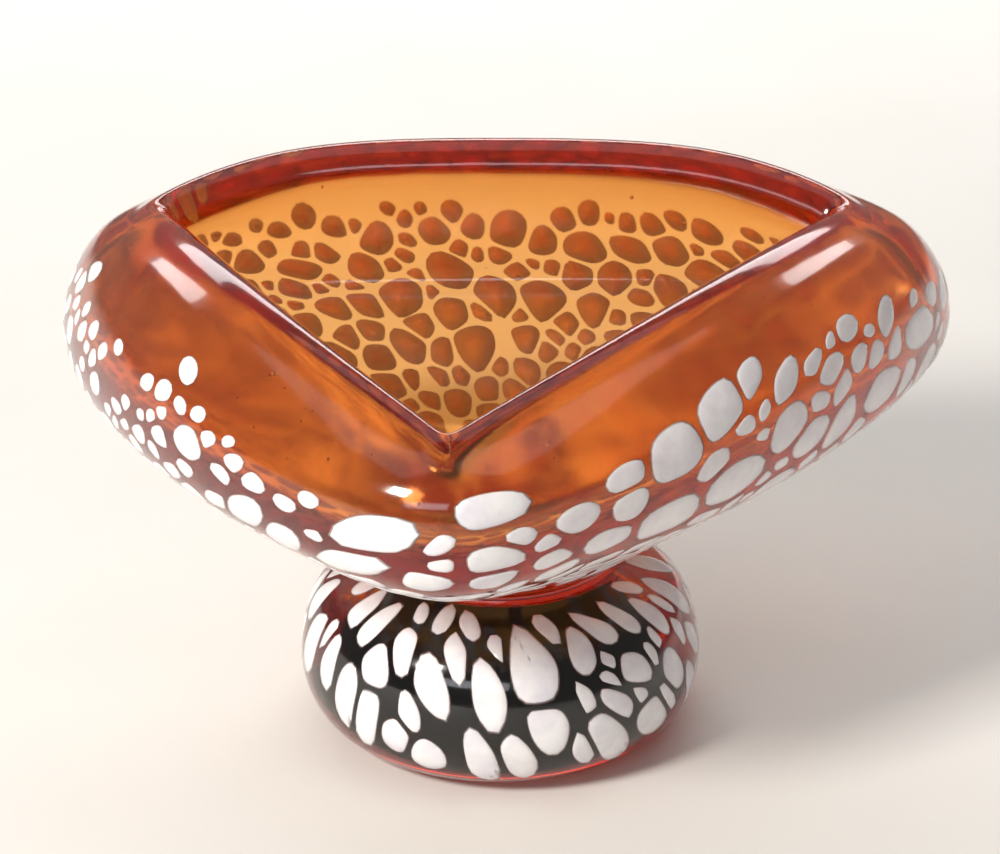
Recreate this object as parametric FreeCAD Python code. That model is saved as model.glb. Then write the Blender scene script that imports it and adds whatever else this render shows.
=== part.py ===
import FreeCAD, Part
import math
import os

# Three-cornered art glass bowl on a squat foot, in mm and degrees.
# The origin is the middle of the foot's resting face, +Z is up and -Y is the front.
# A heavy amber wall rolls inwards to a rounded lip with a front, a right and a left corner.
# Opaque white glass chips are melted onto the outside of the bowl and of the foot.

# ---- lip corners, anticlockwise from above: front, right, left ----
CORNER_AZIMUTH = (-98.0, 28.5, 151.0)
LIP_RADIUS = (59.0, 70.5, 70.0)
LIP_HEIGHT = (77.0, 79.0, 79.0)
LIP_ROUNDING = (5.0, 7.0, 7.0)
BELLY_REACH = (14.0, 25.0, 21.0)
BELLY_DROP = (12.5, 20.5, 20.5)
BELLY_ROUNDING = (28.0, 22.0, 22.0)

# ---- sides that join the corners: front right, back, front left ----
LIP_BULGE = (7.0, 10.0, 7.0)
LIP_RISE = (6.0, 8.5, 6.0)
SIDE_FLATNESS = (2.0, 4.0, 2.0)
BELLY_EXTRA_BULGE = (7.5, 4.0, 7.5)
BELLY_RISE_SHARE = 0.5

# ---- wall ----
LIP_THICKNESS = 8.0
WALL = 9.0
FLOOR_Z = 46.0
FLOOR_FLAT_R = 7.0
FLOOR_DISH = 0.8

# ---- underside and shoulder ----
NECK_SPREAD = 4.0
NECK_SPREAD_RISE = 1.0
BELLY_FULLNESS = 1.0
BELLY_BELOW = 8.0
BELLY_ABOVE = 6.0
SHOULDER_DROP = 2.0
# shares of the way from the neck to the belly, across and upwards
UNDERSIDE_AT = (0.33, 0.22)
SWELL_AT = (0.80, 0.54)
# share of the way from the lip out to the belly
SHOULDER_AT = 0.60
# shares of the way from the belly to the lip, across and upwards
INNER_UPPER_AT = (0.35, 0.45)

# ---- foot ----
NECK_R = 19.0
NECK_Z = 33.0
FOOT_R = 34.3
FOOT_WIDEST_Z = 14.0
BASE_R = 22.0
# outline poles: shares of the overhang, of the radius, and the fillet into the neck
HEEL_SHARE = 0.55
FOOT_FULLNESS = 0.6
FOOT_TOP_SHARE = 0.92
NECK_FILLET_OUT = 3.5
NECK_FILLET_DOWN = 4.2
NECK_STRAIGHT = 2.5

# ---- white chips ----
CHIP_THICKNESS = 0.9
CHIP_GAP = 0.7
CHIP_BEVEL = 0.35
CHIP_GROWTH = 1.38
CHIP_MIN_REACH = 0.9
CHIP_SPACING = 0.86
CHIP_LARGEST = 1.25
CHIP_SMALLEST = 0.36
CHIP_THIN_FROM = 0.72
CHIP_THINNING = 0.45
CHIP_TILT_SPREAD = 40.0
# near the neck the chips are drawn out into upright streaks, over this share of the profile
NECK_FADE = 0.10
STREAK_TILT = 80.0
STREAK_SHORTER = 0.15
STREAK_NARROWER = 0.35
BOWL_NECK_SHARE = 0.0
FOOT_NECK_SHARE = 1.0
# first numbers of the two random layouts
BOWL_LAYOUT = 41
FOOT_LAYOUT = 97
# shares of the two profiles that part the lower chips' nodes from the upper ones'
BOWL_SPLIT = 0.20
FOOT_SPLIT = 0.52
CHIP_POINTS = 24
BOWL_TRIES = 9000
FOOT_TRIES = 5000
BOWL_SECTORS = 12
FOOT_SECTORS = 8

# The chips' look at six even stations round the piece, from the front corner anticlockwise.
# Tilt is from the horizontal, towards the lip; top and bottom are shares of the profile.
BOWL_CHIP_LENGTH = (9.0, 10.5, 11.0, 10.5, 6.5, 6.0)
BOWL_CHIP_WIDTH = (4.8, 5.6, 6.6, 7.0, 4.8, 4.0)
BOWL_CHIP_TILT = (5.0, 14.0, 20.0, 75.0, 50.0, 5.0)
BOWL_CHIP_TOP = (0.265, 0.320, 0.300, 0.320, 0.325, 0.300)
BOWL_CHIP_BOTTOM = (0.03, 0.03, 0.03, 0.03, 0.03, 0.03)
FOOT_CHIP_LENGTH = (11.0, 10.5, 10.0, 10.0, 11.0, 10.0)
FOOT_CHIP_WIDTH = (5.2, 5.0, 5.2, 5.2, 5.2, 4.8)
FOOT_CHIP_TILT = (108.0, 120.0, 105.0, 90.0, 80.0, 78.0)
FOOT_CHIP_TOP = (0.80, 0.80, 0.80, 0.80, 0.80, 0.80)
FOOT_CHIP_BOTTOM = (0.23, 0.28, 0.26, 0.26, 0.30, 0.44)

# The largest chips: turn, profile share, length, width, tilt.
BOWL_LARGE_CHIPS = (
    (0.982, 0.255, 18.5, 6.0, 14.0),
    (0.974, 0.214, 23.0, 6.0, 18.0),
    (0.944, 0.206, 12.0, 6.6, 38.0),
    (0.918, 0.220, 12.5, 6.4, 30.0),
    (0.872, 0.262, 9.5, 6.0, 0.0),
    (0.853, 0.325, 4.5, 3.2, -20.0),
    (0.722, 0.335, 5.5, 3.2, 15.0),
    (0.015, 0.290, 11.0, 5.0, 0.0),
    (0.016, 0.236, 10.0, 5.0, -8.0),
    (0.065, 0.247, 8.5, 5.4, 18.0),
    (0.094, 0.278, 12.5, 8.0, 14.0),
    (0.126, 0.301, 12.0, 7.0, 20.0),
    (0.147, 0.318, 7.2, 4.3, 28.0),
    (0.088, 0.214, 16.0, 8.5, 0.0),
    (0.128, 0.225, 16.0, 8.5, 8.0),
    (0.160, 0.258, 11.5, 7.0, 15.0),
    (0.191, 0.290, 7.8, 4.7, 15.0),
    (0.228, 0.240, 16.0, 8.0, 0.0),
    (0.270, 0.275, 15.0, 7.0, -8.0),
    (0.540, 0.190, 12.5, 9.5, 80.0),
)
FOOT_LARGE_CHIPS = (
    (0.822, 0.480, 13.0, 6.5, 72.0),
    (0.912, 0.525, 10.0, 6.3, 103.0),
    (0.933, 0.610, 9.4, 4.8, 107.0),
    (0.938, 0.315, 6.3, 5.4, 97.0),
    (0.949, 0.400, 8.0, 5.0, 113.0),
    (0.965, 0.265, 6.4, 6.0, 66.0),
    (0.966, 0.500, 14.5, 6.4, 118.0),
    (0.983, 0.625, 10.5, 3.8, 106.0),
    (0.013, 0.500, 16.5, 6.4, 106.0),
    (0.050, 0.585, 16.5, 9.4, 108.0),
    (0.060, 0.380, 9.2, 7.2, 117.0),
    (0.098, 0.625, 11.4, 5.5, 88.0),
    (0.142, 0.500, 8.1, 6.6, 155.0),
    (0.157, 0.310, 8.6, 6.0, 144.0),
    (0.190, 0.420, 11.5, 6.6, 117.0),
)

POLES_PER_SIDE = 8
AROUND = 3 * POLES_PER_SIDE
DEGREE = 3
# a uniform cubic ring drawn through evenly spaced poles lies inside them by this share
RING_SHARE = (4.0 + 2.0 * math.cos(2.0 * math.pi / AROUND)) / 6.0


# ------------------------------------------------------------------ small vectors
def add(a, b):
    return (a[0] + b[0], a[1] + b[1], a[2] + b[2])


def sub(a, b):
    return (a[0] - b[0], a[1] - b[1], a[2] - b[2])


def mul(a, k):
    return (a[0] * k, a[1] * k, a[2] * k)


def dot(a, b):
    return a[0] * b[0] + a[1] * b[1] + a[2] * b[2]


def cross(a, b):
    return (a[1] * b[2] - a[2] * b[1], a[2] * b[0] - a[0] * b[2], a[0] * b[1] - a[1] * b[0])


def unit(a):
    return mul(a, 1.0 / math.sqrt(dot(a, a)))


def lerp(a, b, t):
    return add(mul(a, 1.0 - t), mul(b, t))


# ------------------------------------------------------------------ guide rings
def corner_points(radii, heights):
    """The three corners of a ring, from their azimuths, radii and heights."""
    points = []
    for azimuth, radius, height in zip(CORNER_AZIMUTH, radii, heights):
        angle = math.radians(azimuth)
        points.append((radius * math.cos(angle), radius * math.sin(angle), height))
    return points


def side_shares(length, round_in, round_out):
    """Where the poles of one side stand, as shares of it: close together at the corners."""
    start = round_in / length
    end = 1.0 - round_out / length
    early = [start + (0.5 - start) * k for k in (0.0, 0.28, 0.62)]
    late = [end - (end - 0.5) * k for k in (0.62, 0.28, 0.0)]
    return [0.0] + early + [0.5] + late


def ring(corners, bulges, rises, roundings):
    """Poles of a three-cornered ring whose sides swell outwards and rise towards their middles."""
    poles = []
    for i in range(3):
        a = corners[i]
        b = corners[(i + 1) % 3]
        length = math.hypot(b[0] - a[0], b[1] - a[1])
        along = ((b[0] - a[0]) / length, (b[1] - a[1]) / length)
        out = (along[1], -along[0])
        for s in side_shares(length, roundings[i], roundings[(i + 1) % 3]):
            swell = 1.0 - abs(2.0 * s - 1.0) ** SIDE_FLATNESS[i]
            ease = 3.0 * s * s - 2.0 * s ** 3
            x = a[0] + s * length * along[0] + out[0] * bulges[i] * swell
            y = a[1] + s * length * along[1] + out[1] * bulges[i] * swell
            poles.append((x, y, a[2] + (b[2] - a[2]) * ease + rises[i] * swell))
    return poles


def lip_ring():
    return ring(corner_points(LIP_RADIUS, LIP_HEIGHT), LIP_BULGE, LIP_RISE, LIP_ROUNDING)


def belly_ring():
    radii = [r + reach for r, reach in zip(LIP_RADIUS, BELLY_REACH)]
    heights = [h - drop for h, drop in zip(LIP_HEIGHT, BELLY_DROP)]
    bulges = [b + more for b, more in zip(LIP_BULGE, BELLY_EXTRA_BULGE)]
    rises = [r * BELLY_RISE_SHARE for r in LIP_RISE]
    return ring(corner_points(radii, heights), bulges, rises, BELLY_ROUNDING)


def circle_ring(radius, height, start):
    """Poles whose cubic ring is a circle of the radius."""
    poles = []
    for k in range(AROUND):
        angle = start + 2.0 * math.pi * k / AROUND
        r = radius / RING_SHARE
        poles.append((r * math.cos(angle), r * math.sin(angle), height))
    return poles


def blend(low, high, across, upwards):
    """Between two rings: `across` mixes the plan, `upwards` mixes the height."""
    rows = []
    for a, b in zip(low, high):
        p = lerp(a, b, across)
        rows.append((p[0], p[1], a[2] + (b[2] - a[2]) * upwards))
    return rows


def shifted(row, outwards, out, up):
    """A ring moved along its outward directions and in height."""
    return [(p[0] + n[0] * out, p[1] + n[1] * out, p[2] + up) for p, n in zip(row, outwards)]


def wall_rows():
    """Pole rows of the whole wall: neck, underside, belly, shoulder, lip, inside, floor."""
    lip = lip_ring()
    belly = belly_ring()
    start = math.radians(CORNER_AZIMUTH[0])
    neck = circle_ring(NECK_R, NECK_Z, start)
    outwards = [unit((b[0] - a[0], b[1] - a[1], 0.0)) for a, b in zip(lip, belly)]
    t = LIP_THICKNESS
    neck_spread = circle_ring(NECK_R + NECK_SPREAD, NECK_Z + NECK_SPREAD_RISE, start)
    under = blend(neck, belly, *UNDERSIDE_AT)
    swell = blend(neck, belly, *SWELL_AT)
    shoulder = shifted(blend(lip, belly, SHOULDER_AT, 0.0), outwards, 0.0, -SHOULDER_DROP)
    inner_upper = blend(belly, lip, *INNER_UPPER_AT)
    floor_out = circle_ring(FLOOR_FLAT_R * 3.4, FLOOR_Z + FLOOR_DISH, start)
    floor_in = circle_ring(FLOOR_FLAT_R * 2.0, FLOOR_Z, start)
    floor_edge = circle_ring(FLOOR_FLAT_R, FLOOR_Z, start)
    return [
        neck,
        neck_spread,
        under,
        swell,
        shifted(belly, outwards, BELLY_FULLNESS, -BELLY_BELOW),
        shifted(belly, outwards, BELLY_FULLNESS, BELLY_ABOVE),
        shoulder,
        shifted(lip, outwards, 0.60 * t, -0.05 * t),
        shifted(lip, outwards, 0.0, 0.45 * t),
        shifted(lip, outwards, -0.60 * t, -0.10 * t),
        shifted(lip, outwards, -0.45 * t, -0.80 * t),
        shifted(inner_upper, outwards, -WALL, -BELLY_FULLNESS),
        shifted(belly, outwards, -WALL, -BELLY_FULLNESS),
        shifted(swell, outwards, -0.75 * WALL, 0.85 * WALL),
        floor_out,
        floor_in,
        floor_edge,
    ]


OUTER_ROWS = 8


def skin_rows(rows, height):
    """The outer rows lifted off the wall by a height, along the net's own normals."""
    lifted = []
    for k, row in enumerate(rows):
        if k >= OUTER_ROWS:
            lifted.append(row)
            continue
        below = rows[max(k - 1, 0)]
        above = rows[k + 1]
        new = []
        for i, p in enumerate(row):
            around = sub(row[(i + 1) % AROUND], row[i - 1])
            normal = unit(cross(around, sub(above[i], below[i])))
            new.append(add(p, mul(normal, height)))
        lifted.append(new)
    return lifted


# ------------------------------------------------------------------ surfaces
def clamped_knots(count):
    spans = count - DEGREE
    knots = [k / float(spans) for k in range(spans + 1)]
    mults = [DEGREE + 1] + [1] * (spans - 1) + [DEGREE + 1]
    return knots, mults


def wall_surface(rows, roll):
    """Closed cubic surface through the rows, its seam moved on by `roll` poles."""
    poles = []
    for i in range(AROUND):
        poles.append([FreeCAD.Vector(*row[(i + roll) % AROUND]) for row in rows])
    knots, mults = clamped_knots(len(rows))
    surface = Part.BSplineSurface()
    surface.buildFromPolesMultsKnots(
        poles, [1] * (AROUND + 1), mults, [float(k) for k in range(AROUND + 1)], knots,
        True, False, DEGREE, DEGREE)
    return surface


def foot_profile(height):
    """Cubic outline of the foot in the XZ plane, from its resting edge up to the neck."""
    r = FOOT_R + height
    z = FOOT_WIDEST_Z
    neck = NECK_R + height
    top_z = NECK_Z - NECK_FILLET_DOWN
    full_z = 1.12 * z
    points = (
        (BASE_R, 0.0),
        (BASE_R + HEEL_SHARE * (r - BASE_R), 0.0),
        (r + 0.5 * FOOT_FULLNESS, 0.42 * z),
        (r + FOOT_FULLNESS, full_z),
        (FOOT_TOP_SHARE * r, full_z + 0.55 * (NECK_Z - z)),
        (neck + NECK_FILLET_OUT, top_z),
        (neck, NECK_Z - NECK_STRAIGHT),
        (neck, NECK_Z),
    )
    curve = Part.BSplineCurve()
    knots, mults = clamped_knots(len(points))
    poles = [FreeCAD.Vector(x, 0.0, y) for x, y in points]
    curve.buildFromPolesMultsKnots(poles, mults, knots, False, DEGREE)
    return curve


UP = FreeCAD.Vector(0, 0, 1)
ORIGIN = FreeCAD.Vector(0, 0, 0)


def revolved_surface(height, start):
    """The foot's outside, its seam at the azimuth `start`."""
    curve = foot_profile(height)
    curve.rotate(FreeCAD.Placement(ORIGIN, FreeCAD.Rotation(UP, start)))
    return Part.SurfaceOfRevolution(curve, ORIGIN, UP)


# ------------------------------------------------------------------ where a chip sits
def wall_frame(surface, turn, share):
    """Point and the two surface derivatives, `turn` counted from the front corner's pole."""
    u = (turn * AROUND - 1.0) % AROUND
    return (
        tuple(surface.getDN(u, share, 0, 0)),
        tuple(surface.getDN(u, share, 1, 0) * AROUND),
        tuple(surface.getDN(u, share, 0, 1)),
    )


def foot_frame(curve, turn, share):
    """Point and the two derivatives on the revolved foot, in the same turns as the wall."""
    angle = math.radians(CORNER_AZIMUTH[0]) + 2.0 * math.pi * turn
    p = curve.value(share)
    d = curve.getDN(share, 1)
    c = math.cos(angle)
    s = math.sin(angle)
    around = 2.0 * math.pi * p.x
    return (p.x * c, p.x * s, p.z), (-around * s, around * c, 0.0), (d.x * c, d.x * s, d.z)


def station_value(values, turn):
    """Smooth value between the six stations round the piece."""
    place = (turn % 1.0) * len(values)
    k = int(place)
    ease = 0.5 - 0.5 * math.cos(math.pi * (place - k))
    return values[k % len(values)] * (1.0 - ease) + values[(k + 1) % len(values)] * ease


def tangent_axes(du, dv):
    """Unit vectors round the piece and up its profile, and the outward normal."""
    e1 = unit(du)
    normal = unit(cross(du, dv))
    return e1, cross(normal, e1), normal


def stretch(length, width, tilt):
    """Symmetric 2 x 2 form that is 1 on the ellipse of that length, width and tilt."""
    a = 4.0 / length ** 2
    b = 4.0 / width ** 2
    c = math.cos(math.radians(tilt))
    s = math.sin(math.radians(tilt))
    return (a * c * c + b * s * s, (a - b) * c * s, a * s * s + b * c * c)


def form(m, p, q):
    return m[0] * p[0] * q[0] + m[1] * (p[0] * q[1] + p[1] * q[0]) + m[2] * p[1] * q[1]


def make_seed(frame, turn, share, length, width, tilt, spacing=CHIP_SPACING):
    point, du, dv = frame(turn, share)
    e1, e2, normal = tangent_axes(du, dv)
    return {
        "turn": turn, "share": share, "point": point, "du": du, "dv": dv,
        "e1": e1, "e2": e2, "normal": normal,
        "metric": stretch(length, width, tilt), "reach": length, "spacing": spacing,
    }


def towards(seed, other):
    """The other chip's middle in this chip's tangent plane."""
    step = sub(other["point"], seed["point"])
    return dot(step, seed["e1"]), dot(step, seed["e2"])


def reach_towards(seed, step):
    """How far the chip's own ellipse reaches towards a point, as a share of the way there."""
    return form(seed["metric"], step, step) ** -0.5


def too_close(seed, other):
    """True if both ellipses' reaches, with their spacing, don't fit between the two middles."""
    if dot(seed["normal"], other["normal"]) < 0.0:
        return False
    step = towards(seed, other)
    spacing = 0.5 * (seed["spacing"] + other["spacing"])
    return (reach_towards(seed, step) + reach_towards(other, step)) * spacing > 1.0


def next_random(state):
    """Park and Miller's generator: the next whole number and it as a share of one."""
    state = state * 16807 % 2147483647
    return state, state / 2147483647.0


def scatter(frame, looks, large, tries, state, neck_share):
    """Chips thrown on at random, from the largest sizes down to the smallest, each kept if it
    clears those already there. They get small and sparse towards the top of their zone."""
    lengths, widths, tilts, tops, bottoms = looks
    seeds = [make_seed(frame, *chip) for chip in large]
    for k in range(tries):
        state, turn = next_random(state)
        state, height = next_random(state)
        state, size = next_random(state)
        state, slant = next_random(state)
        low = station_value(bottoms, turn)
        top = station_value(tops, turn)
        share = low + (top - low) * height
        thin = max((height - CHIP_THIN_FROM) / (1.0 - CHIP_THIN_FROM), 0.0)
        scale = CHIP_LARGEST - (CHIP_LARGEST - CHIP_SMALLEST) * (k / tries) ** 0.4
        scale *= (0.85 + 0.30 * size) * (1.0 - CHIP_THINNING * thin)
        near_neck = math.exp(-((share - neck_share) / NECK_FADE) ** 2)
        tilt = station_value(tilts, turn) + CHIP_TILT_SPREAD * (slant - 0.5)
        tilt += (STREAK_TILT - tilt) * near_neck
        length = station_value(lengths, turn) * scale * (1.0 - STREAK_SHORTER * near_neck)
        width = station_value(widths, turn) * scale * (1.0 - STREAK_NARROWER * near_neck)
        spacing = CHIP_SPACING * (1.0 + CHIP_THINNING * thin)
        seed = make_seed(frame, turn, share, length, width, tilt, spacing)
        if not any(too_close(seed, other) for other in seeds):
            seeds.append(seed)
    return seeds


def parting_line(seed, other):
    """The line between two chips, as its direction and its distance from the first one's middle:
    it parts the way as the two ellipses' reaches do, less half the gap."""
    step = towards(seed, other)
    pull = (0.0, 0.0)
    for m in (seed["metric"], other["metric"]):
        v = (m[0] * step[0] + m[1] * step[1], m[1] * step[0] + m[2] * step[1])
        steep = math.hypot(v[0], v[1])
        pull = (pull[0] + v[0] / steep, pull[1] + v[1] / steep)
    steep = math.hypot(pull[0], pull[1])
    nx = pull[0] / steep
    ny = pull[1] / steep
    own = reach_towards(seed, step)
    share = own / (own + reach_towards(other, step))
    return nx, ny, max(share * (nx * step[0] + ny * step[1]) - 0.5 * CHIP_GAP, 0.05)


def outline(seed, seeds):
    """Reach of a chip in each direction: its own ellipse, cut off softly by the parting lines."""
    near = []
    for other in seeds:
        if other is seed or dot(seed["normal"], other["normal"]) < 0.0:
            continue
        step = towards(seed, other)
        if math.hypot(step[0], step[1]) <= 1.6 * (seed["reach"] + other["reach"]):
            near.append(parting_line(seed, other))
    reaches = []
    for k in range(CHIP_POINTS):
        angle = 2.0 * math.pi * k / CHIP_POINTS
        d = (math.cos(angle), math.sin(angle))
        total = (math.sqrt(form(seed["metric"], d, d)) / CHIP_GROWTH) ** 7
        for nx, ny, level in near:
            facing = d[0] * nx + d[1] * ny
            if facing > 0.0:
                total += (facing / level) ** 7
        reaches.append(total ** (-1.0 / 7.0))
    return reaches


def chip_points(seed, reaches, shrink):
    """The outline as (turn, share) pairs, from its reaches in the tangent plane."""
    a = dot(seed["du"], seed["e1"])
    b = dot(seed["dv"], seed["e1"])
    c = dot(seed["du"], seed["e2"])
    d = dot(seed["dv"], seed["e2"])
    det = a * d - b * c
    points = []
    for k, reach in enumerate(reaches):
        angle = 2.0 * math.pi * k / CHIP_POINTS
        x = (reach - shrink) * math.cos(angle)
        y = (reach - shrink) * math.sin(angle)
        turn = seed["turn"] + (d * x - b * y) / det
        share = seed["share"] + (a * y - c * x) / det
        points.append((turn, share))
    return points


# ------------------------------------------------------------------ solids
def closed_face(surface, points):
    """The part of a surface inside a smooth closed curve through the points."""
    curve = Part.BSplineCurve()
    curve.interpolate(Points=[surface.value(u, v) for u, v in points], PeriodicFlag=True)
    face = Part.Face(surface, Part.Wire([curve.toShape()]))
    face.validate()
    return face


def chip_solid(back, front):
    """A flat pebble between its back face on the glass and its front face."""
    side = Part.makeRuledSurface(back.OuterWire.Edges[0], front.OuterWire.Edges[0])
    shell = Part.makeShell([back, front] + side.Faces)
    shell.sewShape(0.01)
    solid = Part.makeSolid(shell)
    if solid.Volume < 0.0:
        solid.reverse()
    return solid


def local_patch(surface, points):
    """A copy of the wall surface trimmed close round the points."""
    us = [p[0] for p in points]
    vs = [p[1] for p in points]
    patch = surface.copy()
    patch.segment(min(us) - 0.05, max(us) + 0.05, max(min(vs) - 0.004, 0.0), max(vs) + 0.004)
    return patch


def bowl_chip(seed, reaches, walls, skins):
    """One chip on the bowl, on the copy of the wall whose seam is on the far side."""
    half = AROUND // 2
    far = 0 if 0.25 < seed["turn"] % 1.0 < 0.75 else 1
    faces = []
    for surfaces, shrink in ((walls, 0.0), (skins, CHIP_BEVEL)):
        points = []
        for turn, share in chip_points(seed, reaches, shrink):
            middle = (seed["turn"] * AROUND - 1.0 - far * half) % AROUND
            u = middle + (turn - seed["turn"]) * AROUND
            points.append((u, max(share, 0.001)))
        faces.append(closed_face(local_patch(surfaces[far], points), points))
    return chip_solid(faces[0], faces[1])


def foot_chip(seed, reaches):
    """One chip on the foot, on a revolved surface whose seam is opposite it."""
    start = CORNER_AZIMUTH[0] + 360.0 * seed["turn"] - 180.0
    faces = []
    for height, shrink in ((0.0, 0.0), (CHIP_THICKNESS, CHIP_BEVEL)):
        surface = revolved_surface(height, start)
        points = []
        for turn, share in chip_points(seed, reaches, shrink):
            angle = math.pi + 2.0 * math.pi * (turn - seed["turn"])
            points.append((angle, min(share, 0.999)))
        faces.append(closed_face(surface, points))
    return chip_solid(faces[0], faces[1])


def bowl_solid(wall):
    """The wall closed by the flat disks of the neck joint and of the floor's middle."""
    skin = wall.toShape()
    ends = [wall.vIso(0.0), wall.vIso(1.0)]
    disks = [Part.Face(Part.Wire([curve.toShape()])) for curve in ends]
    shell = Part.makeShell([skin] + disks)
    shell.sewShape(0.01)
    solid = Part.makeSolid(shell)
    if solid.Volume < 0.0:
        solid.reverse()
    return solid


def foot_solid():
    """The foot revolved about +Z, flat where it rests and where it meets the bowl."""
    edge = foot_profile(0.0).toShape()
    low = FreeCAD.Vector(BASE_R, 0, 0)
    high = FreeCAD.Vector(NECK_R, 0, NECK_Z)
    top = FreeCAD.Vector(0, 0, NECK_Z)
    lines = [Part.makeLine(high, top), Part.makeLine(top, ORIGIN), Part.makeLine(ORIGIN, low)]
    face = Part.Face(Part.Wire([edge] + lines))
    return face.revolve(ORIGIN, UP, 360.0)


# ------------------------------------------------------------------ groups of chips
def grouped(seeds, sectors, split):
    """Chips by sector round the piece and by lower or upper part of the profile."""
    groups = {}
    for seed in seeds:
        sector = int((seed["turn"] % 1.0) * sectors) + 1
        part = "lower" if seed["share"] < split else "upper"
        groups.setdefault((part, sector), []).append(seed)
    return groups


def write_groups(name, seeds, sectors, split, build):
    """One STEP per group, a compound of its separate chips."""
    for (part, sector), members in sorted(grouped(seeds, sectors, split).items()):
        solids = []
        for seed in members:
            reaches = outline(seed, seeds)
            if min(reaches) > CHIP_MIN_REACH:
                solids.append(build(seed, reaches))
        if solids:
            node = "%s_chips_%s_%02d" % (name, part, sector)
            Part.makeCompound(solids).exportStep("parts/" + node + ".step")


def main():
    os.makedirs("parts", exist_ok=True)
    rows = wall_rows()
    lifted = skin_rows(rows, CHIP_THICKNESS)
    half = AROUND // 2
    walls = [wall_surface(rows, 0), wall_surface(rows, half)]
    skins = [wall_surface(lifted, 0), wall_surface(lifted, half)]
    bowl_solid(walls[0]).exportStep("parts/bowl.step")
    foot_solid().exportStep("parts/foot.step")

    bowl_seeds = scatter(
        lambda turn, share: wall_frame(walls[0], turn, share),
        (BOWL_CHIP_LENGTH, BOWL_CHIP_WIDTH, BOWL_CHIP_TILT, BOWL_CHIP_TOP, BOWL_CHIP_BOTTOM),
        BOWL_LARGE_CHIPS, BOWL_TRIES, BOWL_LAYOUT, BOWL_NECK_SHARE)
    write_groups("bowl", bowl_seeds, BOWL_SECTORS, BOWL_SPLIT,
                 lambda seed, reaches: bowl_chip(seed, reaches, walls, skins))

    curve = foot_profile(0.0)
    foot_seeds = scatter(
        lambda turn, share: foot_frame(curve, turn, share),
        (FOOT_CHIP_LENGTH, FOOT_CHIP_WIDTH, FOOT_CHIP_TILT, FOOT_CHIP_TOP, FOOT_CHIP_BOTTOM),
        FOOT_LARGE_CHIPS, FOOT_TRIES, FOOT_LAYOUT, FOOT_NECK_SHARE)
    write_groups("foot", foot_seeds, FOOT_SECTORS, FOOT_SPLIT, foot_chip)


main()
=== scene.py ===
import math

import bpy
import numpy as np
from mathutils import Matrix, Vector


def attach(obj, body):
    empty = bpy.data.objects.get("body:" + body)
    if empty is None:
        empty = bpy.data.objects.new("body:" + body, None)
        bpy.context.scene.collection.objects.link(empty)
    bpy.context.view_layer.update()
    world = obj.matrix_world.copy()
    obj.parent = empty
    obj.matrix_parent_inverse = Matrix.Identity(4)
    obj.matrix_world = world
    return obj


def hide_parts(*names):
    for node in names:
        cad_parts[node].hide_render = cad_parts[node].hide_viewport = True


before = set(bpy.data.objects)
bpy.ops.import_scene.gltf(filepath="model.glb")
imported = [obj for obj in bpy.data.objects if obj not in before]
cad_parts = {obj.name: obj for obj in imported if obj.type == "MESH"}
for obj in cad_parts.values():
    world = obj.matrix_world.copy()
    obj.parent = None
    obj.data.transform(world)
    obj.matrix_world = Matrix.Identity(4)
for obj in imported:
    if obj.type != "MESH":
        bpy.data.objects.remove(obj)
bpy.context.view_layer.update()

# A three-cornered amber glass bowl on a squat foot, with white glass chips melted onto it.
# Shapes are worked out in millimetres and put into the meshes in metres, in the frame's own axes:
# the middle of the resting face is the origin, +Z is up and -Y is the front.
MM = 0.001

# ---- the bowl's lip corners, anticlockwise from above: front, right, left ----
CORNER_AZIMUTH = (-98.0, 28.5, 151.0)
LIP_RADIUS = (59.0, 70.5, 70.0)
LIP_HEIGHT = (77.0, 79.0, 79.0)
LIP_ROUNDING = (5.0, 7.0, 7.0)
BELLY_REACH = (14.0, 25.0, 21.0)
BELLY_DROP = (12.5, 20.5, 20.5)
BELLY_ROUNDING = (28.0, 22.0, 22.0)

# ---- the sides that join the corners: front right, back, front left ----
LIP_BULGE = (7.0, 10.0, 7.0)
LIP_RISE = (6.0, 8.5, 6.0)
SIDE_FLATNESS = (2.0, 4.0, 2.0)
BELLY_EXTRA_BULGE = (7.5, 4.0, 7.5)
BELLY_RISE_SHARE = 0.5

# ---- the wall, its underside and its shoulder ----
LIP_THICKNESS = 8.0
WALL = 9.0
FLOOR_Z = 46.0
FLOOR_FLAT_R = 7.0
FLOOR_DISH = 0.8
NECK_SPREAD = 4.0
NECK_SPREAD_RISE = 1.0
BELLY_FULLNESS = 1.0
BELLY_BELOW = 8.0
BELLY_ABOVE = 6.0
SHOULDER_DROP = 2.0
# shares of the way from the neck to the belly, across and upwards
UNDERSIDE_AT = (0.33, 0.22)
SWELL_AT = (0.80, 0.54)
# share of the way from the lip out to the belly
SHOULDER_AT = 0.60
# shares of the way from the belly to the lip, across and upwards
INNER_UPPER_AT = (0.35, 0.45)

# ---- the foot ----
NECK_R = 19.0
NECK_Z = 33.0
FOOT_R = 34.3
FOOT_WIDEST_Z = 14.0
BASE_R = 22.0
# outline poles: shares of the overhang, of the radius, and the fillet into the neck
HEEL_SHARE = 0.55
FOOT_FULLNESS = 0.6
FOOT_TOP_SHARE = 0.92
NECK_FILLET_OUT = 3.5
NECK_FILLET_DOWN = 4.2
NECK_STRAIGHT = 2.5

# ---- the white chips ----
CHIP_GAP = 0.7
CHIP_GROWTH = 1.38
CHIP_SPACING = 0.86
CHIP_LARGEST = 1.25
CHIP_SMALLEST = 0.36
CHIP_THIN_FROM = 0.72
CHIP_THINNING = 0.45
# a chip that reaches no further than this in one of so many directions is left out
CHIP_MIN_REACH = 0.9
CHIP_CORNERS = 24
CHIP_TILT_SPREAD = 40.0
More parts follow.
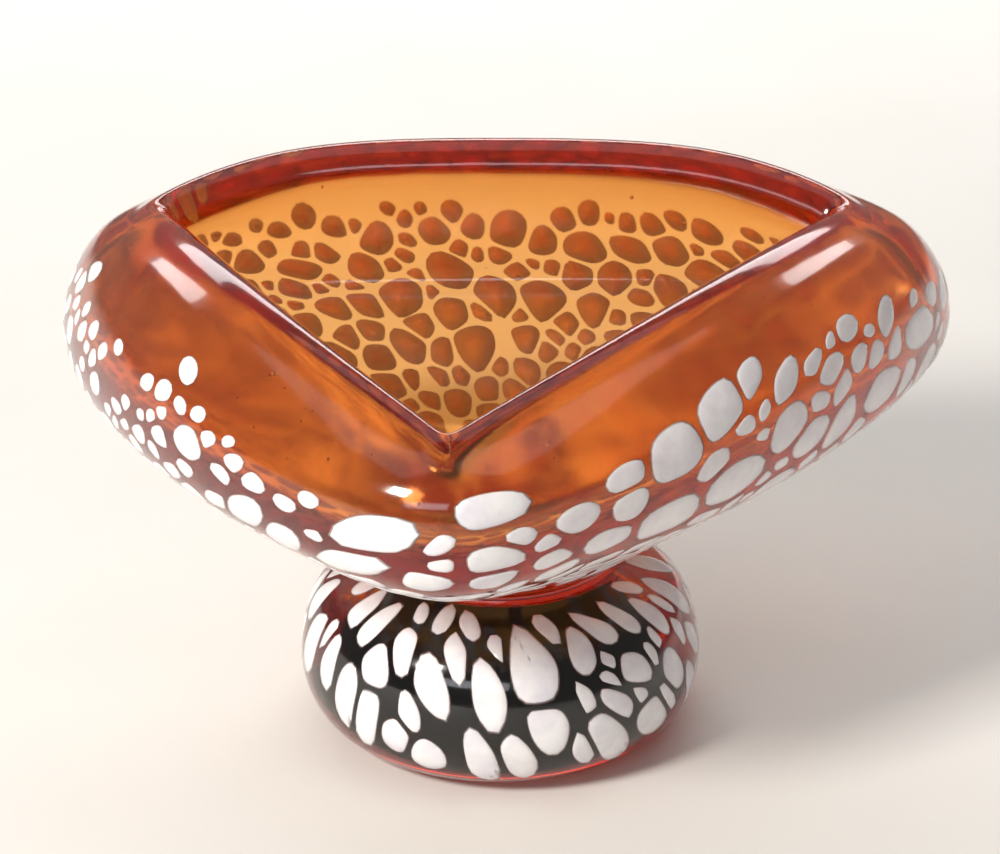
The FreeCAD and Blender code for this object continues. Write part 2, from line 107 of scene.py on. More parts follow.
# near the neck the chips are drawn out into upright streaks, over this share of the profile
NECK_FADE = 0.10
STREAK_TILT = 80.0
STREAK_SHORTER = 0.15
STREAK_NARROWER = 0.35
# At six even stations round the piece from the front corner: length, width, tilt, and the top and
# bottom of the chips' zone as shares of the profile. Then the number of throws, the layout's first
# number, the share where the neck lies, and the sectors and the share that part the nodes. Each of
# the large chips listed one by one has its turn, share of the profile, length, width and tilt.
BOWL_CHIPS = {
    "length": (9.0, 10.5, 11.0, 10.5, 6.5, 6.0),
    "width": (4.8, 5.6, 6.6, 7.0, 4.8, 4.0),
    "tilt": (5.0, 14.0, 20.0, 75.0, 50.0, 5.0),
    "top": (0.265, 0.320, 0.300, 0.320, 0.325, 0.300),
    "bottom": (0.03, 0.03, 0.03, 0.03, 0.03, 0.03),
    "tries": 9000, "first": 41, "neck": 0.0, "sectors": 12, "split": 0.20,
    "large": (
        (0.982, 0.255, 18.5, 6.0, 14.0),
        (0.974, 0.214, 23.0, 6.0, 18.0),
        (0.944, 0.206, 12.0, 6.6, 38.0),
        (0.918, 0.220, 12.5, 6.4, 30.0),
        (0.872, 0.262, 9.5, 6.0, 0.0),
        (0.853, 0.325, 4.5, 3.2, -20.0),
        (0.722, 0.335, 5.5, 3.2, 15.0),
        (0.015, 0.290, 11.0, 5.0, 0.0),
        (0.016, 0.236, 10.0, 5.0, -8.0),
        (0.065, 0.247, 8.5, 5.4, 18.0),
        (0.094, 0.278, 12.5, 8.0, 14.0),
        (0.126, 0.301, 12.0, 7.0, 20.0),
        (0.147, 0.318, 7.2, 4.3, 28.0),
        (0.088, 0.214, 16.0, 8.5, 0.0),
        (0.128, 0.225, 16.0, 8.5, 8.0),
        (0.160, 0.258, 11.5, 7.0, 15.0),
        (0.191, 0.290, 7.8, 4.7, 15.0),
        (0.228, 0.240, 16.0, 8.0, 0.0),
        (0.270, 0.275, 15.0, 7.0, -8.0),
        (0.540, 0.190, 12.5, 9.5, 80.0),
    ),
}
FOOT_CHIPS = {
    "length": (11.0, 10.5, 10.0, 10.0, 11.0, 10.0),
    "width": (5.2, 5.0, 5.2, 5.2, 5.2, 4.8),
    "tilt": (108.0, 120.0, 105.0, 90.0, 80.0, 78.0),
    "top": (0.80, 0.80, 0.80, 0.80, 0.80, 0.80),
    "bottom": (0.23, 0.28, 0.26, 0.26, 0.30, 0.44),
    "tries": 5000, "first": 97, "neck": 1.0, "sectors": 8, "split": 0.52,
    "large": (
        (0.822, 0.480, 13.0, 6.5, 72.0),
        (0.912, 0.525, 10.0, 6.3, 103.0),
        (0.933, 0.610, 9.4, 4.8, 107.0),
        (0.938, 0.315, 6.3, 5.4, 97.0),
        (0.949, 0.400, 8.0, 5.0, 113.0),
        (0.965, 0.265, 6.4, 6.0, 66.0),
        (0.966, 0.500, 14.5, 6.4, 118.0),
        (0.983, 0.625, 10.5, 3.8, 106.0),
        (0.013, 0.500, 16.5, 6.4, 106.0),
        (0.050, 0.585, 16.5, 9.4, 108.0),
        (0.060, 0.380, 9.2, 7.2, 117.0),
        (0.098, 0.625, 11.4, 5.5, 88.0),
        (0.142, 0.500, 8.1, 6.6, 155.0),
        (0.157, 0.310, 8.6, 6.0, 144.0),
        (0.190, 0.420, 11.5, 6.6, 117.0),
    ),
}

AROUND = 24
DEGREE = 3
START = math.radians(CORNER_AZIMUTH[0])


# ------------------------------------------------------------------ guide rings
def side_shares(length, round_in, round_out):
    """Shares along one side where its eight poles stand: close together at the corners."""
    start = round_in / length
    end = 1.0 - round_out / length
    early = [start + (0.5 - start) * k for k in (0.0, 0.28, 0.62)]
    late = [end - (end - 0.5) * k for k in (0.62, 0.28, 0.0)]
    return np.array([0.0] + early + [0.5] + late)


def corner_ring(radii, heights, bulges, rises, roundings):
    """24 x 3 poles: straight sides between three corners, plus a swell of 1 - |2s-1|^flatness
    outwards and upwards, heights eased from corner to corner by 3s^2 - 2s^3."""
    angles = np.radians(CORNER_AZIMUTH)
    corners = np.stack([radii * np.cos(angles), radii * np.sin(angles), heights], -1)
    sides = []
    for i in range(3):
        a, b = corners[i], corners[(i + 1) % 3]
        length = np.hypot(*(b - a)[:2])
        along = (b - a)[:2] / length
        s = side_shares(length, roundings[i], roundings[(i + 1) % 3])
        swell = 1.0 - np.abs(2.0 * s - 1.0) ** SIDE_FLATNESS[i]
        ease = 3.0 * s ** 2 - 2.0 * s ** 3
        x = a[0] + s * length * along[0] + along[1] * bulges[i] * swell
        y = a[1] + s * length * along[1] - along[0] * bulges[i] * swell
        sides.append(np.stack([x, y, a[2] + (b[2] - a[2]) * ease + rises[i] * swell], -1))
    return np.concatenate(sides)


def circle_ring(radius, height):
    """24 poles on a circle, set out so that their cubic ring has the radius asked for."""
    angle = START + 2.0 * np.pi * np.arange(AROUND) / AROUND
    r = radius * 6.0 / (4.0 + 2.0 * np.cos(2.0 * np.pi / AROUND))
    return np.stack([r * np.cos(angle), r * np.sin(angle), np.full(AROUND, height)], -1)


def blend(low, high, across, upwards):
    """Between two rings, with one share for the plan and one for the height."""
    share = np.array([across, across, upwards])
    return low * (1.0 - share) + high * share


def wall_rows():
    """17 x 24 x 3 poles of the bowl's wall: neck, underside, belly, shoulder, lip, inside, floor."""
    lip = corner_ring(np.array(LIP_RADIUS), np.array(LIP_HEIGHT), LIP_BULGE, LIP_RISE, LIP_ROUNDING)
    belly = corner_ring(
        np.add(LIP_RADIUS, BELLY_REACH), np.subtract(LIP_HEIGHT, BELLY_DROP),
        np.add(LIP_BULGE, BELLY_EXTRA_BULGE), np.multiply(LIP_RISE, BELLY_RISE_SHARE),
        BELLY_ROUNDING)
    out = belly - lip
    out[:, 2] = 0.0
    out /= np.linalg.norm(out, axis=1)[:, None]
    up = np.array([0.0, 0.0, 1.0])
    neck = circle_ring(NECK_R, NECK_Z)
    swell = blend(neck, belly, *SWELL_AT)
    full = BELLY_FULLNESS
    t = LIP_THICKNESS
    return np.stack([
        neck,
        circle_ring(NECK_R + NECK_SPREAD, NECK_Z + NECK_SPREAD_RISE),
        blend(neck, belly, *UNDERSIDE_AT),
        swell,
        belly + full * out - BELLY_BELOW * up,
        belly + full * out + BELLY_ABOVE * up,
        blend(lip, belly, SHOULDER_AT, 0.0) - SHOULDER_DROP * up,
        lip + 0.60 * t * out - 0.05 * t * up,
        lip + 0.45 * t * up,
        lip - 0.60 * t * out - 0.10 * t * up,
        lip - 0.45 * t * out - 0.80 * t * up,
        blend(belly, lip, *INNER_UPPER_AT) - WALL * out - full * up,
        belly - WALL * out - full * up,
        swell - 0.75 * WALL * out + 0.85 * WALL * up,
        circle_ring(FLOOR_FLAT_R * 3.4, FLOOR_Z + FLOOR_DISH),
        circle_ring(FLOOR_FLAT_R * 2.0, FLOOR_Z),
        circle_ring(FLOOR_FLAT_R, FLOOR_Z),
    ])


def foot_poles():
    """Radius and height poles of the foot's outline, from its resting edge up to the neck."""
    z = FOOT_WIDEST_Z
    full_z = 1.12 * z
    return np.array([
        (BASE_R, 0.0),
        (BASE_R + HEEL_SHARE * (FOOT_R - BASE_R), 0.0),
        (FOOT_R + 0.5 * FOOT_FULLNESS, 0.42 * z),
        (FOOT_R + FOOT_FULLNESS, full_z),
        (FOOT_TOP_SHARE * FOOT_R, full_z + 0.55 * (NECK_Z - z)),
        (NECK_R + NECK_FILLET_OUT, NECK_Z - NECK_FILLET_DOWN),
        (NECK_R, NECK_Z - NECK_STRAIGHT),
        (NECK_R, NECK_Z),
    ])


# ------------------------------------------------------------------ cubic weights
def clamped_weights(count, share):
    """Weights of `count` poles at each share of a clamped uniform cubic (Cox and de Boor)."""
    spans = count - DEGREE
    knots = np.concatenate([np.zeros(DEGREE), np.linspace(0.0, 1.0, spans + 1), np.ones(DEGREE)])
    x = np.clip(np.asarray(share, float).ravel(), 0.0, 1.0 - 1e-12)[:, None]
    w = ((knots[:-1] <= x) & (x < knots[1:])).astype(float)
    for d in range(1, DEGREE + 1):
        left = knots[d:-1] - knots[:-d - 1]
        right = knots[d + 1:] - knots[1:-d]
        rise = (x - knots[:-d - 1]) / np.where(left > 0.0, left, 1.0) * (left > 0.0)
        fall = (knots[d + 1:] - x) / np.where(right > 0.0, right, 1.0) * (right > 0.0)
        w = rise * w[:, :-1] + fall * w[:, 1:]
    return w


def ring_weights(turn):
    """Weights of the 24 poles at each turn of a closed uniform cubic, pole 0 at turn 0."""
    x = (np.asarray(turn, float).ravel() * AROUND) % AROUND
    k = np.floor(x).astype(int)
    f = x - k
    pieces = ((1 - f) ** 3, 3 * f ** 3 - 6 * f ** 2 + 4, -3 * f ** 3 + 3 * f ** 2 + 3 * f + 1, f ** 3)
    w = np.zeros((x.size, AROUND))
    for step, piece in enumerate(pieces):
        w[np.arange(x.size), (k - 1 + step) % AROUND] += piece / 6.0
    return w


WALL_POLES = wall_rows()
FOOT_POLES = foot_poles()


def wall_at(turn, share):
    """Points of the wall: the pole net weighted both ways."""
    u = ring_weights(turn)
    v = clamped_weights(len(WALL_POLES), share)
    return np.einsum("nk,kil,ni->nl", v, WALL_POLES, u, optimize=True)


def foot_at(turn, share):
    """Points of the foot: its outline turned about the upright axis."""
    rz = clamped_weights(len(FOOT_POLES), share) @ FOOT_POLES
    angle = START + 2.0 * np.pi * np.asarray(turn, float).ravel()
    return np.stack([rz[:, 0] * np.cos(angle), rz[:, 0] * np.sin(angle), rz[:, 1]], -1)


def tangents(surface, turn, share):
    """Points, both derivatives (by small differences) and the outward unit normals."""
    h = 1e-5
    low = np.clip(share - h, 0.0, 1.0)
    high = np.clip(share + h, 0.0, 1.0)
    p = surface(turn, share)
    du = (surface(turn + h, share) - surface(turn - h, share)) / (2.0 * h)
    dv = (surface(turn, high) - surface(turn, low)) / (high - low)[:, None]
    n = np.cross(du, dv)
    n /= np.linalg.norm(n, axis=1)[:, None]
    return p, du, dv, n


# ------------------------------------------------------------------ meshes
def new_piece(name, points, faces, material, smooth=True):
    """A mesh object at the origin from points in millimetres and a list of corner arrays."""
    mesh = bpy.data.meshes.new(name)
    loops = np.concatenate([f.ravel() for f in faces]).astype(np.int32)
    totals = np.concatenate([np.full(len(f), f.shape[1]) for f in faces]).astype(np.int32)
    mesh.vertices.add(len(points))
    mesh.vertices.foreach_set("co", (points * MM).astype(np.float32).ravel())
    mesh.loops.add(len(loops))
    mesh.loops.foreach_set("vertex_index", loops)
    mesh.polygons.add(len(totals))
    starts = np.concatenate([[0], np.cumsum(totals)[:-1]]).astype(np.int32)
    mesh.polygons.foreach_set("loop_start", starts)
    mesh.polygons.foreach_set("loop_total", totals)
    mesh.update(calc_edges=True)
    mesh.polygons.foreach_set("use_smooth", np.full(len(totals), smooth))
    mesh.validate()
    mesh.materials.append(material)
    piece = bpy.data.objects.new(name, mesh)
    bpy.context.scene.collection.objects.link(piece)
    return piece


def tube_faces(rings, around, first=0):
    """Quads between rings of `around` points, closed round the ring, facing away from its middle
    when the rings run upwards."""
    i, j = np.meshgrid(np.arange(rings - 1), np.arange(around), indexing="ij")
    a = first + i * around + j
    b = first + i * around + (j + 1) % around
    return np.stack([a, b, b + around, a + around], -1).reshape(-1, 4)


def fan_faces(ring_start, around, centre, outwards):
    """Triangles from a ring to one point."""
    j = np.arange(around)
    a = ring_start + j
    b = ring_start + (j + 1) % around
    c = np.full(around, centre)
    return np.stack([a, b, c] if outwards else [b, a, c], -1)


# ------------------------------------------------------------------ where the chips lie
def random_numbers(count, state):
    """Park and Miller's generator, as shares of one."""
    numbers = np.empty(count)
    for k in range(count):
        state = state * 16807 % 2147483647
        numbers[k] = state / 2147483647.0
    return numbers


def station_value(values, turn):
    """Value at a turn, eased by a half cosine between the six stations."""
    values = np.array(values)
    place = (turn % 1.0) * len(values)
    k = place.astype(int)
    ease = 0.5 - 0.5 * np.cos(np.pi * (place - k))
    return values[k % len(values)] * (1.0 - ease) + values[(k + 1) % len(values)] * ease


def stretch(length, width, tilt):
    """Rows (xx, xy, yy) of the form that is 1 on an ellipse of that length, width and tilt."""
    a = 4.0 / length ** 2
    b = 4.0 / width ** 2
    c = np.cos(np.radians(tilt))
    s = np.sin(np.radians(tilt))
    return np.stack([a * c * c + b * s * s, (a - b) * c * s, a * s * s + b * c * c], -1)


def form(m, x, y):
    """The form at (x, y): xx x^2 + 2 xy x y + yy y^2."""
    return m[..., 0] * x * x + 2.0 * m[..., 1] * x * y + m[..., 2] * y * y


def scatter(surface, looks):
    """Chips thrown on at random, from the largest sizes down to the smallest. Each is kept if, on
    the line to each one already kept, both ellipses' reaches times CHIP_SPACING fit between their
    middles. They get small and sparse towards the top of their zone. The `large` ones come first
    and are all kept."""
    tries = looks["tries"]
    r = random_numbers(4 * tries, looks["first"]).reshape(-1, 4)
    turn = r[:, 0]
    low = station_value(looks["bottom"], turn)
    share = low + (station_value(looks["top"], turn) - low) * r[:, 1]
    thin = np.maximum((r[:, 1] - CHIP_THIN_FROM) / (1.0 - CHIP_THIN_FROM), 0.0)
    order = np.arange(tries) / tries
    scale = CHIP_LARGEST - (CHIP_LARGEST - CHIP_SMALLEST) * order ** 0.4
    scale *= (0.85 + 0.30 * r[:, 2]) * (1.0 - CHIP_THINNING * thin)
    near_neck = np.exp(-((share - looks["neck"]) / NECK_FADE) ** 2)
    tilt = station_value(looks["tilt"], turn) + CHIP_TILT_SPREAD * (r[:, 3] - 0.5)
    tilt += (STREAK_TILT - tilt) * near_neck
    length = station_value(looks["length"], turn) * scale * (1.0 - STREAK_SHORTER * near_neck)
    width = station_value(looks["width"], turn) * scale * (1.0 - STREAK_NARROWER * near_neck)
    spacing = CHIP_SPACING * (1.0 + CHIP_THINNING * thin)
    large = np.array(looks["large"]).T
    spacing = np.concatenate([np.full(large.shape[1], CHIP_SPACING), spacing])
    turn, share, length, width, tilt = [
        np.concatenate(pair) for pair in zip(large, (turn, share, length, width, tilt))]
    p, du, dv, normal = tangents(surface, turn, share)
    e1 = du / np.linalg.norm(du, axis=1)[:, None]
    chips = {
        "turn": turn, "share": share, "point": p, "du": du, "dv": dv, "normal": normal,
        "e1": e1, "e2": np.cross(normal, e1), "metric": stretch(length, width, tilt),
        "reach": length, "size": np.sqrt(length * width),
    }
    kept = list(range(large.shape[1]))
    for i in range(large.shape[1], len(turn)):
        step = p[kept] - p[i]
        x = step @ chips["e1"][i]
        y = step @ chips["e2"][i]
        reaches = form(chips["metric"][i], x, y) ** -0.5 + form(chips["metric"][kept], x, y) ** -0.5
        same_side = normal[kept] @ normal[i] >= 0.0
        if not np.any(same_side & (reaches * 0.5 * (spacing[i] + spacing[kept]) > 1.0)):
            kept.append(i)
    return {key: value[kept] for key, value in chips.items()}


def outline(chips, i, count):
    """Reach of chip i in `count` directions: a seventh-power soft minimum of its own ellipse,
    grown a little, and of a line before each neighbour. The line parts the way between their
    middles as their ellipses' reaches do, less half the gap, and stands square to both sides."""
    step = chips["point"] - chips["point"][i]
    x = step @ chips["e1"][i]
    y = step @ chips["e2"][i]
    near = np.hypot(x, y) <= 1.6 * (chips["reach"][i] + chips["reach"])
    near &= chips["normal"] @ chips["normal"][i] >= 0.0
    near[i] = False
    x, y = x[near], y[near]
    mine, theirs = chips["metric"][i], chips["metric"][near]
    pull = sum(
        v / np.linalg.norm(v, axis=1)[:, None]
        for v in (np.stack([m[..., 0] * x + m[..., 1] * y, m[..., 1] * x + m[..., 2] * y], -1)
                  for m in (mine, theirs)))
    pull /= np.linalg.norm(pull, axis=1)[:, None]
    own_reach = form(mine, x, y) ** -0.5
    share = own_reach / (own_reach + form(theirs, x, y) ** -0.5)
    level = np.maximum(share * (pull[:, 0] * x + pull[:, 1] * y) - 0.5 * CHIP_GAP, 0.05)
    angle = 2.0 * np.pi * np.arange(count) / count
    d = np.stack([np.cos(angle), np.sin(angle)], -1)
    own = np.sqrt(form(chips["metric"][i], d[:, 0], d[:, 1])) / CHIP_GROWTH
    facing = np.maximum(d @ pull.T, 0.0) / level
    return (own ** 7 + (facing ** 7).sum(1)) ** (-1.0 / 7.0)


# Rings of a chip from its edge to its middle: share of the outline, height above the glass.
CHIP_RINGS = ((1.00, -0.10), (0.91, 0.05), (0.66, 0.10), (0.36, 0.12))
CHIP_MIDDLE = 0.13
CHIP_BACK = -0.40
# Chips larger than this have more sides than the small ones.
MANY_SIDES_FROM = 5.0
MANY_SIDES = 24
FEW_SIDES = 16


def chip_surface(surface, chips, i, around):
    """One chip: a low dome carried over the glass on rings of its outline, closed by a shallow
    cone that reaches into the glass."""
    reach = outline(chips, i, around)
    angle = 2.0 * np.pi * np.arange(around) / around
    e1, e2, du, dv = (chips[k][i] for k in ("e1", "e2", "du", "dv"))
    a, b, c, d = du @ e1, dv @ e1, du @ e2, dv @ e2
    det = a * d - b * c
    scale = np.array([ring[0] for ring in CHIP_RINGS] + [0.0])
    lift = np.array([ring[1] for ring in CHIP_RINGS] + [CHIP_MIDDLE])
    x = (scale[:, None] * reach * np.cos(angle)).ravel()
    y = (scale[:, None] * reach * np.sin(angle)).ravel()
    turn = chips["turn"][i] + (d * x - b * y) / det
    share = np.clip(chips["share"][i] + (a * y - c * x) / det, 0.0005, 0.9995)
    p, _, _, n = tangents(surface, turn, share)
    points = p + n * np.repeat(lift, around)[:, None]
    back = p[-1] + n[-1] * CHIP_BACK
    rings = len(CHIP_RINGS)
    points = np.concatenate([points[:rings * around + 1], back[None]])
    caps = np.concatenate([
        fan_faces((rings - 1) * around, around, rings * around, True),
        fan_faces(0, around, rings * around + 1, False)])
    return points, tube_faces(rings, around), caps


def chip_pieces(name, surface, looks, material):
    """The chips of the bowl or of the foot, one piece for each of the frame's nodes of them."""
    chips = scatter(surface, looks)
    groups = {}
    for i in range(len(chips["turn"])):
        if outline(chips, i, CHIP_CORNERS).min() <= CHIP_MIN_REACH:
            continue
        part = "lower" if chips["share"][i] < looks["split"] else "upper"
        sector = int((chips["turn"][i] % 1.0) * looks["sectors"]) + 1
        groups.setdefault("%s_chips_%s_%02d" % (name, part, sector), []).append(i)
    for node, members in sorted(groups.items()):
        points, quads, triangles, count = [], [], [], 0
        for i in members:
            around = MANY_SIDES if chips["size"][i] > MANY_SIDES_FROM else FEW_SIDES
            p, q, t = chip_surface(surface, chips, i, around)
            points.append(p)
            quads.append(q + count)
            triangles.append(t + count)
            count += len(p)
        piece = new_piece(
            node.replace("chips", "white_chips"), np.concatenate(points),
            [np.concatenate(quads), np.concatenate(triangles)], material)
        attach(piece, "root")
        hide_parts(node)


# ------------------------------------------------------------------ the glass body
GLASS_AROUND = 384
FOOT_RINGS = 64
WALL_RINGS = 150
BASE_RINGS = (0.5, 0.96)
NECK_BLEND = 5
NECK_ROUNDS = 3


def amber_glass_body(material):
    """Bowl and foot as one closed mesh: rings up the foot's outline, over the wall's outside and
    lip and down its inside, closed by a point at each end. The rings next to the neck are averaged
    a few times, half of each and a quarter of both its neighbours, which rounds the crease where
    foot and bowl were fused."""
    turn = np.arange(GLASS_AROUND) / GLASS_AROUND
    edge = foot_at(turn, np.zeros(GLASS_AROUND))
    rings = [edge * np.array([s, s, 1.0]) for s in BASE_RINGS]
    rings += [foot_at(turn, np.full(GLASS_AROUND, s)) for s in np.linspace(0, 1, FOOT_RINGS)]
    rings += [wall_at(turn, np.full(GLASS_AROUND, s)) for s in np.linspace(0, 1, WALL_RINGS)[1:]]
    net = np.stack(rings)
    neck = 1 + FOOT_RINGS
    for _ in range(NECK_ROUNDS):
        for reach in range(NECK_BLEND, 0, -1):
            part = slice(neck - reach, neck + reach + 1)
            above = net[neck - reach + 1:neck + reach + 2]
            below = net[neck - reach - 1:neck + reach]
            net[part] = 0.5 * net[part] + 0.25 * (above + below)
    count = len(net)
    ends = np.array([[0.0, 0.0, 0.0], [0.0, 0.0, FLOOR_Z]])
    points = np.concatenate([net.reshape(-1, 3), ends])
    last = (count - 1) * GLASS_AROUND
    low_end = fan_faces(0, GLASS_AROUND, count * GLASS_AROUND, False)
    high_end = fan_faces(last, GLASS_AROUND, count * GLASS_AROUND + 1, True)
    quads = tube_faces(count, GLASS_AROUND)
    piece = new_piece("amber_glass", points, [quads, low_end, high_end], material)
    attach(piece, "root")
    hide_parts("bowl", "foot")


SEED_COUNT = 90
SEED_LAYOUT = 7
SEED_SIDES = 8
SEED_RINGS = 5


def air_seeds(material):
    """Small round bubbles at seeded random places in the shoulder, 1.2 to 4.7 mm under the outside
    and 0.12 to 0.42 mm in radius. Each is a ball of level rings, sin of the polar angle wide and
    -cos of it high, closed at both poles."""
    r = random_numbers(4 * SEED_COUNT, SEED_LAYOUT).reshape(-1, 4)
    share = 0.22 + 0.20 * r[:, 1]
    p, _, _, n = tangents(wall_at, r[:, 0], share)
    middle = p - n * (1.2 + 3.5 * r[:, 2])[:, None]
    radius = 0.12 + 0.30 * r[:, 3] ** 3
    upright = np.pi * np.arange(1, SEED_RINGS + 1) / (SEED_RINGS + 1)
    about = 2.0 * np.pi * np.arange(SEED_SIDES) / SEED_SIDES
    ring = np.stack([
        np.outer(np.sin(upright), np.cos(about)), np.outer(np.sin(upright), np.sin(about)),
        np.repeat(-np.cos(upright)[:, None], SEED_SIDES, 1)], -1).reshape(-1, 3)
    ball = np.concatenate([ring, [[0.0, 0.0, -1.0], [0.0, 0.0, 1.0]]])
    points = (middle[:, None] + ball[None] * radius[:, None, None]).reshape(-1, 3)
    bodies = SEED_RINGS * SEED_SIDES
    quads = tube_faces(SEED_RINGS, SEED_SIDES)
    caps = np.concatenate([
        fan_faces(0, SEED_SIDES, bodies, False),
        fan_faces(bodies - SEED_SIDES, SEED_SIDES, bodies + 1, True)])
    first = (np.arange(SEED_COUNT) * len(ball))[:, None, None]
    piece = new_piece(
        "air_seeds", points,
        [(quads[None] + first).reshape(-1, 4), (caps[None] + first).reshape(-1, 3)], material)
    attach(piece, "root")


# ------------------------------------------------------------------ materials
def linear(code):
    """An sRGB hex colour as the linear values that sockets take."""
    values = [int(code[k:k + 2], 16) / 255.0 for k in (1, 3, 5)]
    return [v / 12.92 if v <= 0.04045 else ((v + 0.055) / 1.055) ** 2.4 for v in values] + [1.0]


def add_node(tree, kind, settings=None, **links):
    """Adds a node. `settings` gives its properties and its sockets' values; `links` joins sockets
    (spaces in their names written as _) to other nodes' outputs."""
    node = tree.nodes.new(kind)
    for key, value in (settings or {}).items():
        if key in node.inputs:
            node.inputs[key].default_value = value
        else:
            setattr(node, key, value)
    for key, source in links.items():
        tree.links.new(source, node.inputs[key.replace("_", " ")])
    return node


def new_material(name):
    """A material with an empty node tree, and the tree."""
    material = bpy.data.materials.new(name)
    material.use_nodes = True
    material.node_tree.nodes.clear()
    return material, material.node_tree


def ripples(tree, size_mm, height_mm, strength, seed_w=0.0):
    """Low waves of a hand-worked hot surface, about `size_mm` from crest to crest; `seed_w` picks
    another cut through the same noise."""
    place = add_node(tree, "ShaderNodeTexCoord")
    waves = add_node(
        tree, "ShaderNodeTexNoise",
        {"noise_dimensions": "4D", "Scale": 1.0 / (size_mm * MM), "Detail": 1.0, "W": seed_w},
        Vector=place.outputs["Object"])
    return add_node(
        tree, "ShaderNodeBump", {"Strength": strength, "Distance": height_mm * MM},
        Height=waves.outputs[0])


def amber_soda_lime_glass():
    """Soda-lime glass coloured amber in the melt and fire-polished, with a soft waviness. It takes
    out blue and green with depth, so a thin wall reads peach, a thick shoulder deep orange and the
    solid foot nearly black. The body is a little rough, which blurs what is seen through it as the
    melt's own cords do, and a sharp coat over it keeps the wet gloss."""
    material, tree = new_material("amber_soda_lime_glass_fire_polished")
    bump = ripples(tree, 14.0, 0.35, 0.5)
    glass = add_node(
        tree, "ShaderNodeBsdfPrincipled",
        {"Base Color": linear("#ffffff"), "Roughness": 0.12, "IOR": 1.51,
         "Transmission Weight": 1.0, "Coat Weight": 0.5, "Coat Roughness": 0.02, "Coat IOR": 1.5},
        Normal=bump.outputs[0], Coat_Normal=bump.outputs[0])
    depth = add_node(
        tree, "ShaderNodeVolumeAbsorption",
        {"Color": linear("#fcce30"), "Density": 170.0})
    add_node(tree, "ShaderNodeOutputMaterial", Surface=glass.outputs[0], Volume=depth.outputs[0])
    return material


def opal_white_glass():
    """Opaque white glass melted in as crushed chips and smoothed by the fire: a milky, slightly
    bluish body with a wet gloss, thinner and greyer in cloudy patches."""
    material, tree = new_material("opal_white_glass_fire_polished")
    place = add_node(tree, "ShaderNodeTexCoord")
    clouds = add_node(
        tree, "ShaderNodeTexNoise", {"Scale": 1.0 / (6.0 * MM), "Detail": 3.0, "Roughness": 0.55},
        Vector=place.outputs["Object"])
    milk = add_node(tree, "ShaderNodeValToRGB", {}, Fac=clouds.outputs[0])
    milk.color_ramp.elements[0].position = 0.30
    milk.color_ramp.elements[0].color = linear("#e8e6f0")
    milk.color_ramp.elements[1].position = 0.62
    milk.color_ramp.elements[1].color = linear("#fefeff")
    bump = ripples(tree, 3.0, 0.08, 0.5, 3.0)
    glass = add_node(
        tree, "ShaderNodeBsdfPrincipled",
        {"Roughness": 0.10, "IOR": 1.51, "Subsurface Weight": 0.4,
         "Subsurface Radius": (1.0, 1.0, 1.0), "Subsurface Scale": 0.0016},
        Base_Color=milk.outputs[0], Normal=bump.outputs[0])
    add_node(tree, "ShaderNodeOutputMaterial", Surface=glass.outputs[0])
    return material


def air_in_glass():
    """Air trapped in the melt: the ray leaves the glass, so the index is that of air over glass,
    which makes each seed a small bright-edged bead."""
    material, tree = new_material("air_seed_in_glass")
    place = add_node(tree, "ShaderNodeTexCoord")
    skin = add_node(
        tree, "ShaderNodeTexNoise", {"Scale": 1.0 / (1.0 * MM)}, Vector=place.outputs["Object"])
    bump = add_node(
        tree, "ShaderNodeBump", {"Strength": 0.1, "Distance": 0.02 * MM}, Height=skin.outputs[0])
    air = add_node(
        tree, "ShaderNodeBsdfGlass", {"IOR": 1.0 / 1.51, "Roughness": 0.0}, Normal=bump.outputs[0])
    add_node(tree, "ShaderNodeOutputMaterial", Surface=air.outputs[0])
    return material


def pale_matt_floor():
    """Pale matt board with a faint unevenness."""
    material, tree = new_material("pale_matt_board")
    place = add_node(tree, "ShaderNodeTexCoord")
    patches = add_node(
        tree, "ShaderNodeTexNoise", {"Scale": 1.0 / (60.0 * MM), "Detail": 4.0},
        Vector=place.outputs["Object"])
    tone = add_node(tree, "ShaderNodeValToRGB", {}, Fac=patches.outputs[0])
    tone.color_ramp.elements[0].color = linear("#dfdcd6")
    tone.color_ramp.elements[1].color = linear("#e9e6e1")
    board = add_node(
        tree, "ShaderNodeBsdfPrincipled", {"Roughness": 0.85}, Base_Color=tone.outputs[0])
    add_node(tree, "ShaderNodeOutputMaterial", Surface=board.outputs[0])
    return material


# ------------------------------------------------------------------ stage, light and camera
FLOOR_HALF = 3000.0


def floor_plane(material):
    """A wide flat square at the height of the resting face."""
    corners = FLOOR_HALF * np.array([[-1, -1, 0], [1, -1, 0], [1, 1, 0], [-1, 1, 0]])
    piece = new_piece("floor", corners, [np.array([[0, 1, 2, 3]])], material, smooth=False)


def aim(thing, place, target):
    """Stands a light or camera at `place`, facing `target`, both in millimetres."""
    place, target = Vector(place) * MM, Vector(target) * MM
    thing.location = place
    thing.rotation_euler = (target - place).to_track_quat("-Z", "Y").to_euler()
    bpy.context.scene.collection.objects.link(thing)


def softbox(name, place, target, size_mm, watts, colour):
    """A rectangular sheet of light of that size and power at `place`, facing `target`."""
    light = bpy.data.lights.new(name, "AREA")
    light.shape = "RECTANGLE"
    light.size, light.size_y = size_mm[0] * MM, size_mm[1] * MM
    light.energy = watts
    light.color = linear(colour)[:3]
    aim(bpy.data.objects.new(name, light), place, target)


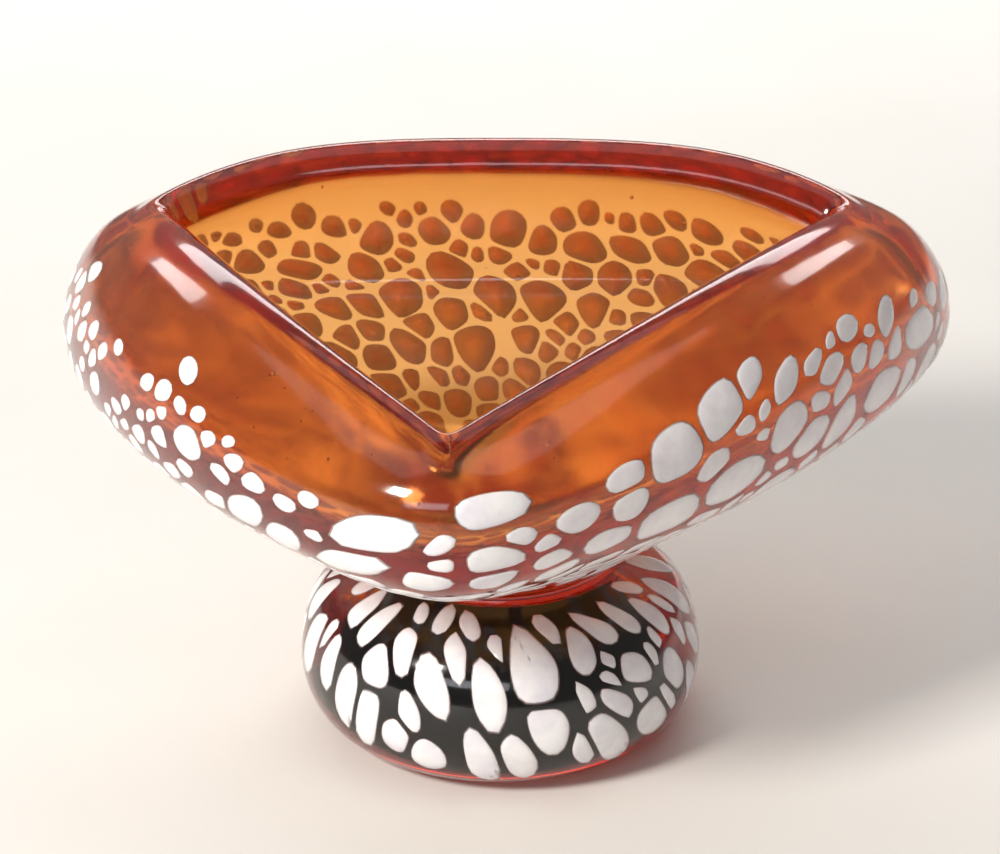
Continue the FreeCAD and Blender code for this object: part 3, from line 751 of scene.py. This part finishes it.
def studio():
    """A key box on the front left, a broad sheet of light overhead that veils the upward faces, a
    low wide window in front that draws a line along the shoulder, a box behind that lights the far
    floor, and a dim pale room."""
    softbox("key", (-560.0, -520.0, 620.0), (0.0, 0.0, 40.0), (200.0, 200.0), 9.5, "#fffaf3")
    softbox("sky", (0.0, 150.0, 1050.0), (0.0, 0.0, 40.0), (1300.0, 900.0), 2.3, "#f6f8ff")
    softbox("window", (-250.0, -850.0, 380.0), (0.0, 0.0, 50.0), (700.0, 160.0), 1.1, "#f4f6ff")
    softbox("far_floor", (0.0, 620.0, 420.0), (0.0, 420.0, 0.0), (900.0, 260.0), 3.0, "#ffffff")
    world = bpy.data.worlds.new("pale_room")
    world.use_nodes = True
    room = world.node_tree.nodes["Background"].inputs
    room["Color"].default_value = linear("#f6f3ee")
    room["Strength"].default_value = 0.24
    bpy.context.scene.world = world
    bpy.context.scene.view_settings.view_transform = "Standard"


CAMERA_LIFT = math.radians(25.0)
CAMERA_DISTANCE = 600.0
CAMERA_TARGET = (0.0, 0.0, 54.0)
SENSOR_WIDTH = 36.0
FIELD_WIDTH = 169.49


def camera():
    """Looks down at 25 degrees on the middle of the bowl from straight in front, with a lens that
    takes in FIELD_WIDTH millimetres at the bowl's distance."""
    lens = bpy.data.cameras.new("camera")
    lens.sensor_width = SENSOR_WIDTH
    lens.lens = SENSOR_WIDTH * CAMERA_DISTANCE / FIELD_WIDTH
    lens.clip_start = 0.01
    away = (0.0, -math.cos(CAMERA_LIFT) * CAMERA_DISTANCE, math.sin(CAMERA_LIFT) * CAMERA_DISTANCE)
    thing = bpy.data.objects.new("camera", lens)
    aim(thing, [t + a for t, a in zip(CAMERA_TARGET, away)], CAMERA_TARGET)
    bpy.context.scene.camera = thing


white = opal_white_glass()
amber_glass_body(amber_soda_lime_glass())
chip_pieces("bowl", wall_at, BOWL_CHIPS, white)
chip_pieces("foot", foot_at, FOOT_CHIPS, white)
air_seeds(air_in_glass())
floor_plane(pale_matt_floor())
studio()
camera()
